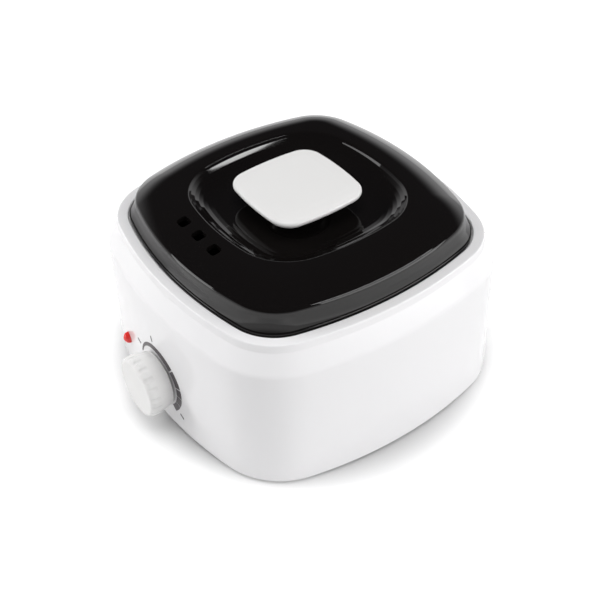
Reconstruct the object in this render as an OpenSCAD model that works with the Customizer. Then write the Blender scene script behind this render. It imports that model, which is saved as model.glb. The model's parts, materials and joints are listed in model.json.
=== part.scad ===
// Countertop wax warmer for a beauty salon. A square casing with bulged sides hangs a heated aluminium well from its
// deck. A lift-out pot with a bail stands in the well under a smoked lid, and a dial thermostat sets the heat.

/* [Casing] */
// Width and depth across the middle of the bulged sides
casing_w = 180; // [180:1:220]
// Bulge radius of each side
side_r = 226; // [200:1:400]
// Radius of the upright corners
corner_r = 40; // [36:1:46]
// Height of the upright wall, from its bottom edge to the shoulder
wall_h = 73; // [72:1:110]
// Height of the sloping shoulder
shoulder_h = 10; // [6:0.5:14]
// How far the shoulder draws the outline in
shoulder_in = 6; // [4:0.5:8]
// Height of the upright band above the shoulder
band_h = 4.5; // [3:0.5:8]
// Width of the flat rim round the lid
rim_w = 5.8; // [3:0.2:6.4]
// Depth of the ledge for the lid, below the rim
seat_d = 2; // [1.5:0.5:3]
// Wall thickness of the casing
wall_t = 2.5; // [2:0.25:3]
// Rounding between wall and shoulder, and at the rim
soft_r = 2.4; // [1:0.2:3]

/* [Base and feet] */
// Thickness of the base plate
base_t = 2.5; // [2:0.25:4]
// Clearance all round the base plate
base_gap = 0.3; // [0.2:0.1:0.6]
// Distance of each screw post from the widest sides, along X and along Y
post_in = 27; // [26.5:0.5:29]
// Radius of the screw posts
post_r = 4.5; // [4:0.25:5]
// Shank radius of the base screws
base_screw_r = 1.5; // [1.25:0.25:2]
// Length of the base screws under the head
base_screw_len = 14; // [10:1:20]
// Distance of each foot from the widest sides, along X and along Y
foot_in = 37; // [36:1:44]
// Radius of the rubber feet
foot_r = 8; // [6:0.5:9]
// How far the feet stand below the casing
foot_h = 2; // [1:0.5:5]
// Radius of the stud that holds each foot in the base
foot_stud_r = 2.5; // [2:0.25:3]
// Width of the cooling slots in the base
base_slot_w = 3; // [2:0.5:4]
// Number of cooling slots in the base
base_slots = 7; // [3:2:9]

/* [Lid] */
// Clearance between rim and lid
lid_gap = 0.7; // [0.5:0.1:1.2]
// Height of the lid from its seat to its upper edge
lid_h = 13.7; // [13:0.1:18]
// How far the lid's upper edge lies in from its foot flange, at the middle of a side
crest_in = 2.1; // [1.7:0.1:4]
// Bulge radius of the lid's upper edge
crest_side_r = 178; // [160:1:240]
// Corner radius of the lid's upper edge
crest_corner_r = 29.5; // [26:0.5:32]
// Rounding of the lid's upper edge
crest_r = 3; // [2:0.2:4]
// Height of the lid's foot flange
flange_h = 2.8; // [2:0.2:6]
// Rise of the lid's crown above its upper edge
crown_h = 6.2; // [5:0.2:8]
// Wall thickness of the lid
lid_t = 2.5; // [2:0.25:3]
// Width of the finger dish in the lid
dish_w = 100.8; // [96:0.2:106]
// Bulge radius of the dish's sides
dish_side_r = 136; // [120:1:200]
// Corner radius of the dish
dish_corner_r = 30.4; // [28:0.2:32]
// Depth of the dish below the crown
dish_d = 8.2; // [6.4:0.2:8.6]
// Width of one vent slot
vent_w = 7; // [5:0.5:9]
// Length of one vent slot, front to back
vent_l = 6; // [5:0.5:7]
// Spacing of the vent slots
vent_pitch = 14; // [12:0.5:18]
// Distance of the vent slots from the middle of the lid
vent_y = 59.4; // [57:0.1:61]
// Number of vent slots
vent_count = 3; // [1:1:5]

/* [Lid knob] */
// Width of the knob's plate
plate_w = 55.8; // [50:0.2:60]
// Bulge radius of the plate's sides
plate_side_r = 146; // [120:1:200]
// Corner radius of the plate
plate_corner_r = 11.6; // [10:0.2:14]
// Thickness of the plate
plate_t = 5.2; // [4:0.2:7]
// Radius of the pedestal under the plate
pedestal_r = 15; // [12:0.5:17]
// Height of the pedestal from the dish to the plate
pedestal_h = 8.6; // [7:0.2:12]
// Radius of the knob's screw
lid_screw_r = 2; // [1.5:0.25:2.5]

/* [Pot] */
// Space all round between the pot and the widest sides of the casing
pot_side_gap = 29.5; // [29.5:0.5:36]
// Outside depth of the pot below its flange
pot_depth = 64; // [50:1:64]
// Sheet thickness of the pot
pot_t = 1.2; // [1:0.1:1.5]
// Width of the pot's flange
pot_flange_w = 6.5; // [6:0.5:7]
// Wire radius of the bail
bail_wire_r = 1.75; // [1.5:0.05:2]
// Radius of the grip on the bail
grip_r = 3.6; // [3:0.1:3.8]
// Angle that the grip covers
grip_angle = 64; // [40:2:90]
// Width of the bail's ears
ear_w = 14; // [12:0.5:18]
// Sheet thickness of the ears
ear_t = 1.2; // [1:0.1:1.5]

/* [Heating well] */
// Clearance between pot and well
well_gap = 0.8; // [0.5:0.1:1]
// Clearance between the pot's floor and the well's floor
well_floor_gap = 0.5; // [0.3:0.1:1]
// Sheet thickness of the well
well_t = 1.2; // [1:0.1:1.5]
// Width of the well's flange
well_flange_w = 5; // [4:0.5:6]
// Thickness of the gasket under the well's flange
gasket_t = 0.6; // [0.4:0.1:1]
// Radius of the heater under the well
bottom_heater_r = 48; // [40:1:49]
// Thickness of the heater under the well
bottom_heater_t = 3.2; // [2:0.2:3.4]
// Height of the heater round the well
side_heater_h = 30; // [20:1:34]
// Thickness of the heater round the well
side_heater_t = 2.2; // [1.5:0.1:2.2]
// Thickness of the insulation
insulation_t = 5; // [3:0.5:5]

/* [Thermostat and dial] */
// Height of the dial's axis above the bottom edge of the casing
dial_h = 26; // [21:0.5:30]
// Radius of the control knob at its foot
knob_r = 15.4; // [14:0.2:18]
// Radius of the control knob where it is widest
knob_wide_r = 17; // [16.5:0.1:20]
// Rounding between the control knob's side and face
knob_edge_r = 3.2; // [2:0.2:6]
// How far the control knob stands out of the casing
knob_proud = 14.6; // [13:0.2:18]
// Number of grip grooves in the control knob
knob_grooves = 18; // [12:1:24]
// Radius of the thermostat's shaft
shaft_r = 3; // [2.5:0.25:3]
// Outside radius of the printed scale
scale_r = 19.8; // [19:0.2:24]
// Angle that the control knob turns through
dial_turn = 218; // [200:2:270]
// Distance of the indicator lamp from the dial's axis
lamp_x = 40.5; // [32:0.5:42]
// Height of the indicator lamp above the dial's axis
lamp_up = -4; // [-5:0.5:8]
// Radius of the indicator lamp's lens
lens_r = 3.2; // [3:0.1:4]

/* [Cord outlet] */
// Height of the cord outlet above the bottom edge of the casing
gland_h = 10; // [9.5:0.5:12]
// Radius of the cord's bore through the gland
gland_bore_r = 3.3; // [2.5:0.1:4]
// Radius of the gland where it sits in the casing
gland_r = 5.5; // [5:0.1:6]
// Thickness of the gland's inner and outer flanges
gland_flange_t = 3; // [2:0.5:4]

/* [Hidden] */
$fn = 96;
eps = 0.01;              // overreach of a cut past the face it opens
touch = 0.05;            // clearance of a screw or stud in its own hole, and between rings that fit close
running = 0.06;          // radial clearance of a turning shaft
thin_gap = 0.3;          // clearance between layers round the well
WHITE = "#f2f2f4";
SMOKED = "#17120f";
STEEL = "#b9bcc0";
ALUMINIUM = "#d5d6d8";
RUBBER = "#26262a";

// Outlines with four bulged sides and round corners, each as [half width, side radius, corner radius]
casing = [casing_w / 2, side_r, corner_r];
dish = [dish_w / 2, dish_side_r, dish_corner_r];
plate = [plate_w / 2, plate_side_r, plate_corner_r];

// Places that follow the casing's width
pot_r = casing_w / 2 - pot_side_gap;
post_xy = casing_w / 2 - post_in;
foot_xy = casing_w / 2 - foot_in;

// Heights
casing_z = foot_h;
base_top_z = casing_z + base_t;
shoulder_z = casing_z + wall_h;
band_z = shoulder_z + shoulder_h;
rim_z = band_z + band_h;
seat_z = rim_z - seat_d;
deck_z = seat_z - wall_t;
ledge_t = 2;             // ledge inside the rim that carries the deck
ledge_w = 1.5;
crease_z = seat_z + lid_h;
crown_z = crease_z + crown_h;
dish_z = crown_z - dish_d;
plate_z = dish_z + pedestal_h;
well_flange_z = seat_z + gasket_t;
pot_flange_z = well_flange_z + well_t;
pot_rim_z = pot_flange_z + pot_t;
pot_bottom_z = pot_flange_z - pot_depth;
well_bottom_z = pot_bottom_z - well_floor_gap - well_t;
dial_z = casing_z + dial_h;
gland_z = casing_z + gland_h;

// Insets of the casing's and the lid's outlines from the widest outline
band_in = 0.4;
rim_out = shoulder_in + band_in;
rim_in = rim_out + rim_w;
lid_in = rim_in + lid_gap;
crest = [casing_w / 2 - lid_in - crest_in, crest_side_r, crest_corner_r];

crown_w = 18;            // width over which the crown rises

// Radii and places round the well
well_r = pot_r + well_gap + well_t;
deck_hole_r = well_r + 0.5;
well_flange_r = well_r + well_flange_w;
side_heater_r = well_r + side_heater_t;
band_t = 0.8;
band_r = side_heater_r + band_t;
insulation_in_r = band_r + thin_gap;
insulation_r = insulation_in_r + insulation_t;
shield_t = 0.5;
shield_r = insulation_r + thin_gap + shield_t;
side_heater_z = well_bottom_z + 14;
shield_z = well_bottom_z + 5;
lip_t = 0.8;
insulation_z = shield_z + lip_t;
insulation_top_z = deck_z - 5;
back_gap = 9;            // half width of the slot at the back for the band's clamp

// Stack of plates under the well, on its welded stud
stud_r = 2.5;
heater_plate_t = 1.5;
heater_plate_z = well_bottom_z - bottom_heater_t - heater_plate_t;
nut_h = 4;
nut_z = heater_plate_z - nut_h;
stud_end_z = nut_z - 1;

// Front face
front_y = -casing_w / 2;
pad_w = 36;
pad_h = 34;
pad_y = front_y + 4.5;   // inner face of the flat pad behind the dial
thermostat_w = 32;
thermostat_h = 29;
thermostat_d = 12;
bushing_r = shaft_r + 1.5;
bushing_y = front_y - 4;
nut_t = 2.4;
knob_foot_y = front_y - 0.8;
knob_face_y = front_y - knob_proud;
hub_y = bushing_y - 0.6;
hub_r = shaft_r + 2.4;
socket_y = knob_face_y + 2.8;
shaft_end_y = knob_face_y + 3;
flat_in = 0.9;           // depth of the flat on the shaft
flat_len = 6;            // length of the flat on the shaft
scale_t = 0.15;
scale_from = 168;        // angle where the printed scale starts, from +X towards +Z
scale_grow = 90;         // angle over which the scale widens
scale_marks = [scale_from, 47, 13, -6, -27, scale_from - dial_turn];

// Pot, ears and bail
pot_flange_r = pot_r + pot_flange_w;
ear_x = pot_r + 1;
ear_foot = 5;
elbow_r = bail_wire_r + 0.3;
bail_pin_r = bail_wire_r - 0.1;
bail_r = ear_x - elbow_r - 0.25;
head_r = bail_wire_r + 0.85;
head_t = 1.2;
rivet_r = 1.2;
rivet_y = ear_w / 2 - 3;
pivot_z = pot_rim_z + ear_t + head_r + 0.6;
ear_top_z = pivot_z + bail_wire_r + 2.2;

// ---- Outlines and sweeps

// Distance of a side's centre of curvature from the middle
function side_off(f) = f[1] - f[0];
// Distance of a corner's centre from the middle, along X and along Y
function corner_off(f) = (sqrt(2 * pow(f[1] - f[2], 2) - pow(side_off(f), 2)) - side_off(f)) / 2;
// Half the angle that a side's arc covers
function side_angle(f) = atan(corner_off(f) / (corner_off(f) + side_off(f)));
// Points of an arc about [x, y]
function arc(x, y, r, from, to, n) = [for (i = [0:n]) let (a = from + (to - from) * i / n) [x + r * cos(a), y + r * sin(a)]];

// To the nearest hundredth
function snap(v) = round(v * 100) / 100;

// A solid of the outline. Its edge is listed from the lowest point to the highest, each as [inset, height].
// Four wide rounds cross to make the sides, and each corner is then cut back to its own round
module filled(f, edge) {
    a = side_angle(f);
    c = corner_off(f);
    low = snap(edge[0][1]);
    high = snap(edge[len(edge) - 1][1]);
    under = 0.02;            // how far a corner lies under its sides, so that no two faces run into each other
    reach = 3 * f[2];
    first = f[2] - under - snap(edge[0][0]);
    last = f[2] - under - snap(edge[len(edge) - 1][0]);
    difference() {
        intersection_for(quarter = [0:3]) rotate(90 * quarter) translate([0, side_off(f), 0]) rotate(90) rotate_extrude()
            polygon(concat([[0, low]], [for (p = edge) [f[1] - snap(p[0]), snap(p[1])]], [[0, high]]));
        for (quarter = [0:3]) rotate(90 * quarter) translate([c, -c, 0]) difference() {
            translate([0, 0, low - 1]) linear_extrude(height = high - low + 2)
                polygon([[0, 0], reach * [sin(a), -cos(a)], reach * [1, -1], reach * [cos(a), -sin(a)]]);
            rotate(135) rotate_extrude() polygon(concat([[0, low - 2], [first, low - 2]],
                [for (p = edge) [f[2] - under - snap(p[0]), snap(p[1])]], [[last, high + 2], [0, high + 2]]));
        }
    }
}

// A flat plate of the outline, drawn in by inset
module flat_plate(f, inset, low, high) {
    filled(f, [[inset, low], [inset, high]]);
}

// Turns a shape drawn about Z, growing up, so that it grows outward through the front
module forward() {
    rotate([90, 0, 0]) children();
}

module tube(outer, inner, h) {
    difference() {
        cylinder(r = outer, h = h);
        translate([0, 0, -eps]) cylinder(r = inner, h = h + 2 * eps);
    }
}

module hex_nut(across, hole, h) {
    difference() {
        cylinder(r = across / sqrt(3), h = h, $fn = 6);
        translate([0, 0, -eps]) cylinder(r = hole, h = h + 2 * eps);
    }
}

// Pan-head screw that points up, its shank starting at z = 0
module screw_up(r, len, head_r, head_h) {
    translate([0, 0, -eps]) cylinder(r = r, h = len + eps);
    translate([0, 0, -head_h]) cylinder(r = head_r, h = head_h);
}

module block(x, y, z, w, d, h) {
    translate([x, y, z]) cube([w, d, h]);
}

module at_corners(d) {
    for (x = [-1, 1], y = [-1, 1]) translate([x * d, y * d, 0]) children();
}

// ---- Round wire along a route of hand-placed points

wire_sides = 8;
function unit(v) = v / norm(v);
function heading(route, i) = unit(route[min(i + 1, len(route) - 1)] - route[max(i - 1, 0)]);
function across(d) = unit(abs(d[2]) < 0.9 ? cross(d, [0, 0, 1]) : cross(d, [1, 0, 0]));
// Each ring keeps the last one's twist, so the tube stays straight-sided
function carried(route, i) = i == 0 ? across(heading(route, 0))
    : let (last = carried(route, i - 1), d = heading(route, i)) unit(last - (last * d) * d);
// Eases the corners of a route
function eased(p) = let (end = len(p) - 1, steps = 3) concat([for (i = [0:end - 1], k = [0:steps - 1])
    let (t = k / steps, a = p[max(i - 1, 0)], b = p[i], c = p[i + 1], d = p[min(i + 2, end)])
        b + (c - a) * t / 2 + (2 * a - 5 * b + 4 * c - d) * t * t / 2 + (3 * b - a - 3 * c + d) * t * t * t / 2], [p[end]]);
module wire(corners, r) {
    route = eased(corners);
    rings = len(route);
    points = [for (i = [0:rings - 1]) let (d = heading(route, i), u = carried(route, i), v = cross(d, u))
        for (k = [0:wire_sides - 1]) route[i] + r * (cos(360 * k / wire_sides) * u + sin(360 * k / wire_sides) * v)];
    sides = [for (i = [0:rings - 2], k = [0:wire_sides - 1]) let (n = (k + 1) % wire_sides)
        [i * wire_sides + k, i * wire_sides + n, (i + 1) * wire_sides + n, (i + 1) * wire_sides + k]];
    first = [for (k = [wire_sides - 1:-1:0]) k];
    last = [for (k = [0:wire_sides - 1]) (rings - 1) * wire_sides + k];
    polyhedron(points, concat(sides, [first, last]));
}

// ---- Casing, base and feet

// Wall and shoulder of the casing, drawn in by t, as [inset, height]
function casing_skin(t, low) = [
    [t, low], [t, shoulder_z - soft_r], [t + 0.12 * soft_r, shoulder_z - 0.35 * soft_r],
    [t + 0.4 * soft_r, shoulder_z + 0.3 * soft_r - t * 0.2], [shoulder_in + t * 0.9, band_z - t]
];

module outer_casing() {
    rim_soft = soft_r / 3;
    outside = concat(casing_skin(0, casing_z), arc(rim_out + rim_soft, rim_z - rim_soft, rim_soft, 180, 90, 3));
    inside = concat(casing_skin(wall_t, casing_z - 1), [[rim_out + wall_t + 1, deck_z - ledge_t]]);
    color(WHITE) difference() {
        filled(casing, outside);
        flat_plate(casing, rim_in, deck_z, rim_z + 1);
        flat_plate(casing, rim_in + ledge_w, deck_z - ledge_t - 1, deck_z + 1);
        translate([0, 0, deck_z - ledge_t - 1]) {
            at_corners(post_xy) cylinder(r = post_r + touch, h = ledge_t + 2);
            cylinder(r = shield_r + shield_lip_w + thin_gap, h = ledge_t + 1);
        }
        difference() {
            filled(casing, inside);
            block(-pad_w / 2, pad_y - 6, dial_z - pad_h / 2, pad_w, 6, pad_h);
        }
        translate([0, pad_y + eps, dial_z]) forward() cylinder(r = bushing_r + touch, h = pad_y - front_y + 1);
        on_front(-lamp_x) translate([0, wall_t + 1, dial_z + lamp_up]) forward()
            cylinder(r = stem_r + touch, h = wall_t + 2);
        cord_notch();
    }
}

// Deck with the four posts that the base screws go into, welded to the ledge inside the rim
module casing_deck() {
    color(WHITE) difference() {
        union() {
            flat_plate(casing, rim_in + touch, deck_z, seat_z);
            at_corners(post_xy) translate([0, 0, base_top_z]) cylinder(r = post_r, h = deck_z - base_top_z + eps);
        }
        translate([0, 0, deck_z - 1]) cylinder(r = deck_hole_r, h = wall_t + 2);
        at_corners(post_xy) translate([0, 0, base_top_z - eps]) cylinder(r = base_screw_r + touch, h = base_screw_len);
        shield_screw_places() translate([0, 0, deck_z - eps]) cylinder(r = shield_screw_r + touch, h = wall_t - 0.7);
    }
}

// Notch in the back wall, open downward, for the cord's gland
module cord_notch() {
    y = casing_w / 2 - wall_t - 2;
    translate([0, y, gland_z]) rotate([-90, 0, 0]) cylinder(r = gland_r + touch, h = wall_t + 4);
    block(-gland_r - touch, y, casing_z - eps, 2 * (gland_r + touch), wall_t + 4, gland_z - casing_z + eps);
}

module base_plate() {
    color(WHITE) difference() {
        union() {
            flat_plate(casing, wall_t + base_gap, casing_z, base_top_z);
            gland_tongue();
            at_clamp_screws() translate([0, 0, base_top_z - eps]) cylinder(r = 3, h = clamp_post_h + eps);
        }
        at_corners(post_xy) translate([0, 0, casing_z - eps]) {
            cylinder(r = base_screw_r + 0.3, h = base_t + 2 * eps);
            cylinder(r = base_head_r + 0.3, h = base_head_h + eps);
        }
        at_corners(foot_xy) translate([0, 0, casing_z - eps]) cylinder(r = foot_stud_r + touch, h = base_t + 2 * eps);
        at_clamp_screws() translate([0, 0, casing_z + 1]) cylinder(r = clamp_screw_r + touch, h = 20);
        for (i = [-(base_slots - 1) / 2:(base_slots - 1) / 2])
            block(i * 3 * base_slot_w - base_slot_w / 2, -base_slot_l / 2, casing_z - eps, base_slot_w, base_slot_l,
                base_t + 2 * eps);
    }
}

base_slot_l = 44;
base_head_r = 2.8;
base_head_h = 1.2;

// Fills the notch under the gland
module gland_tongue() {
    w = 2 * gland_r - 0.4;
    wall_y = casing_w / 2 - wall_t;
    block(-w / 2, wall_y - 2, casing_z, w, wall_t + 1.8, base_top_z - casing_z);
    block(-w / 2, wall_y + 0.1, casing_z, w, wall_t - 0.3, gland_z - gland_r - 0.2 - casing_z);
}

module base_screws() {
    color(STEEL) at_corners(post_xy) translate([0, 0, casing_z + base_head_h])
        screw_up(base_screw_r, base_screw_len - 2, base_head_r, base_head_h);
}

module rubber_feet() {
    barb_r = foot_stud_r + 0.7;
    color(RUBBER) at_corners(foot_xy) rotate_extrude() polygon([
        [0, 0], [foot_r - 0.6, 0], [foot_r, 0.6], [foot_r, foot_h], [foot_stud_r, foot_h],
        [foot_stud_r, base_top_z + touch], [barb_r, base_top_z + touch], [foot_stud_r - 0.3, base_top_z + 3],
        [0, base_top_z + 3]
    ]);
}

module cord_gland() {
    y = casing_w / 2;
    wall_in = y - wall_t - 0.3;
    flange_r = gland_r + 2.5;
    color(RUBBER) translate([0, y + gland_flange_t, gland_z]) rotate([90, 0, 0]) difference() {
        rotate_extrude() polygon([
            [0, 0], [flange_r - 1, 0], [flange_r, 1], [flange_r, gland_flange_t], [gland_r, gland_flange_t],
            [gland_r, y + gland_flange_t - wall_in], [flange_r - 1, y + gland_flange_t - wall_in],
            [flange_r - 1, y + 2 * gland_flange_t - wall_in], [0, y + 2 * gland_flange_t - wall_in]
        ]);
        translate([0, 0, -eps]) cylinder(r = gland_bore_r, h = 40);
    }
}

clamp_screw_r = 1.25;
clamp_post_h = 3;
clamp_span = 18;
clamp_y = casing_w / 2 - wall_t - 18;
module at_clamp_screws() {
    for (x = [-1, 1]) translate([x * clamp_span / 2, clamp_y, 0]) children();
}

// Bridge that grips the cord just inside the gland
module cord_clamp() {
    z = base_top_z + clamp_post_h;
    color(WHITE) difference() {
        block(-clamp_span / 2 - 3.5, clamp_y - 3.5, z, clamp_span + 7, 7, 8);
        translate([0, clamp_y + 4, z]) rotate([90, 0, 0]) cylinder(r = gland_bore_r, h = 8);
        at_clamp_screws() translate([0, 0, z - eps]) cylinder(r = clamp_screw_r + 0.2, h = 9);
    }
}

module clamp_screws() {
    top = base_top_z + clamp_post_h + 8;
    color(STEEL) at_clamp_screws() {
        translate([0, 0, casing_z + 1.5]) cylinder(r = clamp_screw_r, h = top - casing_z - 1.5 + eps);
        translate([0, 0, top]) cylinder(r = 2.3, h = 1.8);
    }
}

// ---- Heating well and what heats it

module heating_well() {
    well_in = well_r - well_t;
    color(ALUMINIUM) union() {
        rotate_extrude() polygon([
            [0, well_bottom_z], [well_r - 3, well_bottom_z], [well_r, well_bottom_z + 3], [well_r, well_flange_z],
            [well_flange_r, well_flange_z], [well_flange_r, pot_flange_z], [well_in, pot_flange_z],
            [well_in, well_bottom_z + well_t + 2.5], [well_in - 2.5, well_bottom_z + well_t], [0, well_bottom_z + well_t]
        ]);
        translate([0, 0, stud_end_z]) cylinder(r = stud_r, h = well_bottom_z - stud_end_z + eps);
    }
}

module flange_gasket() {
    color("#d8532f") translate([0, 0, seat_z]) tube(well_flange_r - 0.3, deck_hole_r + 0.2, gasket_t);
}

// Spring clips on the well that pull its flange down on the deck
module well_clips() {
    clip_w = 10;
    clip_t = 1.2;
    reach = 4;
    color(STEEL) for (a = [45:90:315]) rotate(a) {
        block(well_r, -clip_w / 2, deck_z - 9, clip_t, clip_w, 9);
        block(well_r, -clip_w / 2, deck_z - clip_t, clip_t + reach, clip_w, clip_t);
    }
}

module bottom_heater() {
    color("#8a6a3c") translate([0, 0, well_bottom_z - bottom_heater_t])
        tube(bottom_heater_r, stud_r + touch, bottom_heater_t);
}

module heater_plate() {
    color(STEEL) translate([0, 0, heater_plate_z]) tube(bottom_heater_r + 1.5, stud_r + touch, heater_plate_t);
}

module heater_nut() {
    color(STEEL) translate([0, 0, nut_z]) hex_nut(9, stud_r, nut_h);
}

// Leaves a slot at the back of a ring round the well
module open_at_back(half, reach) {
    difference() {
        children();
        block(-half, 0, 0, 2 * half, reach, crown_z);
    }
}

module side_heater() {
    color("#8a6a3c") open_at_back(3, band_r + 5)
        translate([0, 0, side_heater_z]) tube(side_heater_r, well_r + touch, side_heater_h);
}

clamp_lug_t = 1;
clamp_lug_x = 4;
lug_y = side_heater_r + 7;
lug_z = side_heater_z + side_heater_h / 2;
module heater_band() {
    color(STEEL) difference() {
        union() {
            open_at_back(clamp_lug_x, band_r + 5)
                translate([0, 0, side_heater_z + 5]) tube(band_r, side_heater_r + touch, side_heater_h - 10);
            for (x = [-clamp_lug_x - clamp_lug_t, clamp_lug_x])
                block(x, side_heater_r + 0.1, lug_z - 6, clamp_lug_t, 9, 12);
        }
        translate([-10, lug_y, lug_z]) rotate([0, 90, 0]) cylinder(r = 1.5 + touch, h = 20);
    }
}

module band_screw() {
    x = clamp_lug_x + clamp_lug_t;
    color(STEEL) translate([0, lug_y, lug_z]) rotate([0, 90, 0]) {
        translate([0, 0, -x - 1]) cylinder(r = 1.5, h = 2 * x + 3);
        translate([0, 0, -x - 1.6]) cylinder(r = 2.4, h = 1.6);
        translate([0, 0, x]) cylinder(r = 2.6, h = 1.6, $fn = 6);
    }
}

module insulation_sleeve() {
    color("#e8e2d0") open_at_back(back_gap, shield_r + 5)
        translate([0, 0, insulation_z]) tube(insulation_r, insulation_in_r, insulation_top_z - insulation_z);
}

shield_screw_r = 1;
shield_lip_w = 6;
module shield_screw_places() {
    for (a = [30:120:270]) rotate(a) translate([shield_r + shield_lip_w / 2, 0, 0]) children();
}

// Reflector round the insulation, hung from the deck by its top flange
module heat_shield() {
    color(ALUMINIUM) difference() {
        union() {
            open_at_back(back_gap, shield_r + 5) {
                translate([0, 0, shield_z]) tube(shield_r, shield_r - shield_t, deck_z - shield_z);
                translate([0, 0, shield_z]) tube(shield_r, well_r + 1.5, lip_t);
            }
            translate([0, 0, deck_z - lip_t]) tube(shield_r + shield_lip_w, shield_r - shield_t, lip_t);
        }
        shield_screw_places() translate([0, 0, deck_z - 3]) cylinder(r = shield_screw_r + 0.2, h = 4);
    }
}

module shield_screws() {
    color(STEEL) shield_screw_places() translate([0, 0, deck_z - lip_t]) screw_up(shield_screw_r, 2.2, 2, 1.2);
}

// ---- Controls behind the front face

// Moves to the place on the bulged front where x is measured straight across, with y = 0 on the surface
module on_front(x) {
    translate([0, side_off(casing), 0]) rotate(asin(x / side_r)) translate([0, -side_r, 0]) children();
}

module thermostat() {
    color("#3a3a3d") difference() {
        union() {
            block(-thermostat_w / 2, pad_y, dial_z - thermostat_h / 2, thermostat_w, thermostat_d, thermostat_h);
            translate([0, pad_y + eps, dial_z]) forward() cylinder(r = bushing_r, h = pad_y - bushing_y + eps);
        }
        translate([0, pad_y + 8, dial_z]) forward() cylinder(r = shaft_r + running, h = 40);
    }
}

module thermostat_nut() {
    color(STEEL) translate([0, front_y, dial_z]) forward() hex_nut(12, bushing_r, nut_t);
}

// Leaves the flat side of the shaft, on the side of the scale's start
module shaft_flat(clearance) {
    rotate(scale_from) block(shaft_r - flat_in + clearance, -shaft_r - 1, 0, shaft_r, 2 * shaft_r + 2, flat_len);
}

module thermostat_shaft() {
    from_y = pad_y + 7.5;
    color(STEEL) translate([0, from_y, dial_z]) forward() difference() {
        cylinder(r = shaft_r, h = from_y - shaft_end_y);
        translate([0, 0, from_y - shaft_end_y - flat_len + eps]) shaft_flat(0);
    }
}

module control_knob() {
    skin = concat(
        [[knob_r - 0.6, 0.8], [knob_r, 1.5], [knob_r + 0.1, 2.5]],
        arc(knob_wide_r - knob_edge_r, knob_proud - knob_edge_r, knob_edge_r, -15, 90, 8),
        [[0, knob_proud], [0, 0.8]]
    );
    groove_r = 1.4;
    groove_depth = 0.8;
    color(WHITE) translate([0, front_y, dial_z]) forward() difference() {
        rotate_extrude() polygon(skin);
        difference() {
            cylinder(r = knob_r - 3.2, h = knob_proud - 4.5);
            translate([0, 0, front_y - hub_y]) cylinder(r = hub_r, h = knob_proud);
        }
        difference() {
            cylinder(r = shaft_r + touch, h = front_y - socket_y);
            translate([0, 0, front_y - shaft_end_y - flat_len]) shaft_flat(touch);
        }
        for (i = [0:knob_grooves - 1]) rotate(360 * (i + 0.5) / knob_grooves)
            translate([knob_wide_r - knob_edge_r, 0, knob_proud - knob_edge_r]) rotate([0, -45, 0])
                translate([knob_edge_r + groove_r - groove_depth, 0, -6]) cylinder(r = groove_r, h = 12);
    }
}

// Steel ring that keeps the knob's hub tight on the shaft
module knob_spring() {
    color(STEEL) translate([0, hub_y - 0.8, dial_z]) forward() difference() {
        tube(hub_r + 0.6, hub_r, 3);
        block(0, -0.8, -1, hub_r + 2, 1.6, 5);
    }
}

// Inner radius of the scale at an angle: it widens from a hair line to its full width
scale_w = 4;
scale_start_w = 0.8;
function scale_in(a) = scale_r - scale_start_w - (scale_w - scale_start_w) * min(1, (scale_from - a) / scale_grow);
// Outline of one stretch of the scale
function stretch(from, to) = let (n = ceil((from - to) / 8), step = (to - from) / n) concat(
    [for (i = [0:n]) let (a = from + i * step) scale_r * [cos(a), sin(a)]],
    [for (i = [n:-1:0]) let (a = from + i * step) scale_in(a) * [cos(a), sin(a)]]
);
module dial_scale() {
    mark_gap = 2.5;
    color("#4a4648") intersection() {
        translate([0, front_y + 5, dial_z]) forward() linear_extrude(height = 10) {
            for (i = [0:len(scale_marks) - 2])
                polygon(stretch(scale_marks[i] - mark_gap / 2, scale_marks[i + 1] + mark_gap / 2));
            for (a = [scale_from - 9.5, 102, scale_marks[5] + 10.5])
                rotate(a) translate([scale_r + 2.2, -0.4]) square([3.5, 0.8]);
        }
        translate([0, side_off(casing), 0]) tube(side_r + scale_t, side_r, rim_z);
    }
}

stem_r = 2.4;
stem_l = 8;
module indicator_lens() {
    color("#e0201c") on_front(-lamp_x) translate([0, 0, dial_z + lamp_up]) forward() difference() {
        rotate_extrude() polygon(concat(
            [[0, -stem_l], [stem_r, -stem_l], [stem_r, 0.05], [lens_r, 0.05]],
            arc(0, 0.4, lens_r, 0, 90, 8)
        ));
        translate([0, 0, -stem_l - eps]) cylinder(r = stem_r - 0.6, h = stem_l - 0.5);
    }
}

module lens_ring() {
    color(WHITE) on_front(-lamp_x) translate([0, wall_t + 2.2, dial_z + lamp_up]) forward()
        tube(stem_r + 2, stem_r, 1.8);
}

module neon_lamp() {
    color("#f0a080") on_front(-lamp_x) translate([0, stem_l + 3, dial_z + lamp_up]) forward() {
        cylinder(r = stem_r - 0.65, h = 9);
        cylinder(r = 2.2, h = 3 - touch);
    }
}

// ---- Sensor, fuse and wiring

probe_y = well_r - 7.5;
bulb_r = 2.1;
bulb_len = 34;
fuse_r = 2;
fuse_len = 12;
clip_w = 6;
module along_x(r, len) {
    translate([-len / 2, 0, 0]) rotate([0, 90, 0]) cylinder(r = r, h = len);
}

module sensor_bulb() {
    color("#b8733a") translate([0, -probe_y, well_bottom_z - bulb_r]) along_x(bulb_r, bulb_len);
}

// Saddle welded under the well
module saddle(r) {
    difference() {
        block(-clip_w / 2, -r - 1.2, -2 * r - 1, clip_w, 2 * r + 2.4, 2 * r + 1);
        translate([0, 0, -r]) along_x(r + touch, clip_w + 1);
        block(-clip_w, -r - touch, -r, 2 * clip_w, 2 * r + 2 * touch, r + 1);
    }
}

module bulb_clips() {
    color(STEEL) for (x = [-9, 9]) translate([x, -probe_y, well_bottom_z]) saddle(bulb_r);
}

module thermal_fuse() {
    color("#d8d0b0") translate([0, probe_y, well_bottom_z - fuse_r]) along_x(fuse_r, fuse_len);
}

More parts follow.
